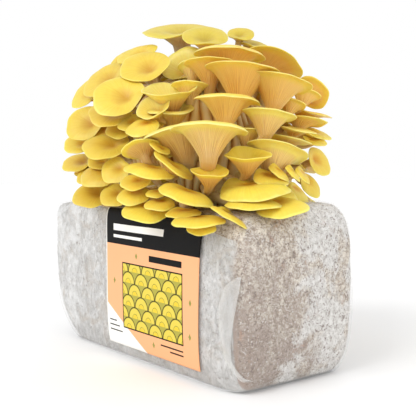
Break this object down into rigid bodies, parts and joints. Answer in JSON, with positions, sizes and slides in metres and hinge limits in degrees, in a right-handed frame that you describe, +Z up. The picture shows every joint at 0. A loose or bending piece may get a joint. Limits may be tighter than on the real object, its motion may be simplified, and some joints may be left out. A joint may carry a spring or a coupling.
{
  "type": "oyster mushroom grow kit",
  "caption": "Golden oyster mushroom cluster fruiting from the top of a film-bagged mycelium block that lies on its side, with a paper label on its long face.",
  "frame": {"origin": "middle of the bag's flat underside, on the surface it lies on", "axes": "+X along the loaf to the end with the folded film, -Y out of the labelled long face, +Z up"},
  "size_m": [0.2919, 0.2066, 0.2885],
  "materials": {
    "mycelium": "matte",
    "film": "satin",
    "label_paper": "satin",
    "stem_flesh": "matte",
    "cap_flesh": "satin"
  },
  "bodies": {
    "root": {"substrate_block": "mycelium", "bag": "film", "label": "label_paper", "stem_base": "stem_flesh", "young_right_3": "cap_flesh", "mushroom_centre_1": "cap_flesh", "mushroom_centre_2": "cap_flesh", "mushroom_centre_3": "cap_flesh", "mushroom_centre_4": "cap_flesh", "mushroom_centre_5": "cap_flesh", "mushroom_middle_1": "cap_flesh", "mushroom_middle_2": "cap_flesh", "mushroom_top_1": "cap_flesh", "mushroom_top_2": "cap_flesh", "mushroom_top_3": "cap_flesh", "mushroom_right_1": "cap_flesh", "mushroom_right_2": "cap_flesh", "mushroom_right_3": "cap_flesh", "mushroom_right_4": "cap_flesh", "mushroom_right_5": "cap_flesh", "mushroom_right_6": "cap_flesh", "mushroom_right_7": "cap_flesh", "mushroom_right_8": "cap_flesh", "young_right_1": "cap_flesh", "young_right_2": "cap_flesh", "mushroom_front_1": "cap_flesh", "mushroom_front_2": "cap_flesh", "mushroom_front_3": "cap_flesh", "mushroom_front_4": "cap_flesh", "mushroom_front_5": "cap_flesh", "mushroom_front_6": "cap_flesh", "mushroom_front_7": "cap_flesh", "mushroom_front_10": "cap_flesh", "mushroom_front_9": "cap_flesh", "mushroom_front_12": "cap_flesh", "mushroom_front_13": "cap_flesh", "mushroom_front_14": "cap_flesh", "mushroom_front_8": "cap_flesh", "mushroom_left_1": "cap_flesh", "mushroom_left_2": "cap_flesh", "mushroom_left_3": "cap_flesh", "mushroom_left_4": "cap_flesh", "mushroom_left_5": "cap_flesh", "mushroom_left_6": "cap_flesh", "mushroom_left_7": "cap_flesh", "mushroom_left_8": "cap_flesh", "mushroom_left_9": "cap_flesh", "mushroom_left_10": "cap_flesh", "mushroom_back_1": "cap_flesh", "mushroom_back_2": "cap_flesh", "mushroom_back_3": "cap_flesh", "mushroom_back_4": "cap_flesh", "mushroom_back_5": "cap_flesh", "mushroom_back_6": "cap_flesh", "mushroom_back_7": "cap_flesh", "mushroom_back_8": "cap_flesh", "mushroom_back_9": "cap_flesh", "mushroom_back_10": "cap_flesh", "mushroom_back_11": "cap_flesh"}
  },
  "joints": []
}
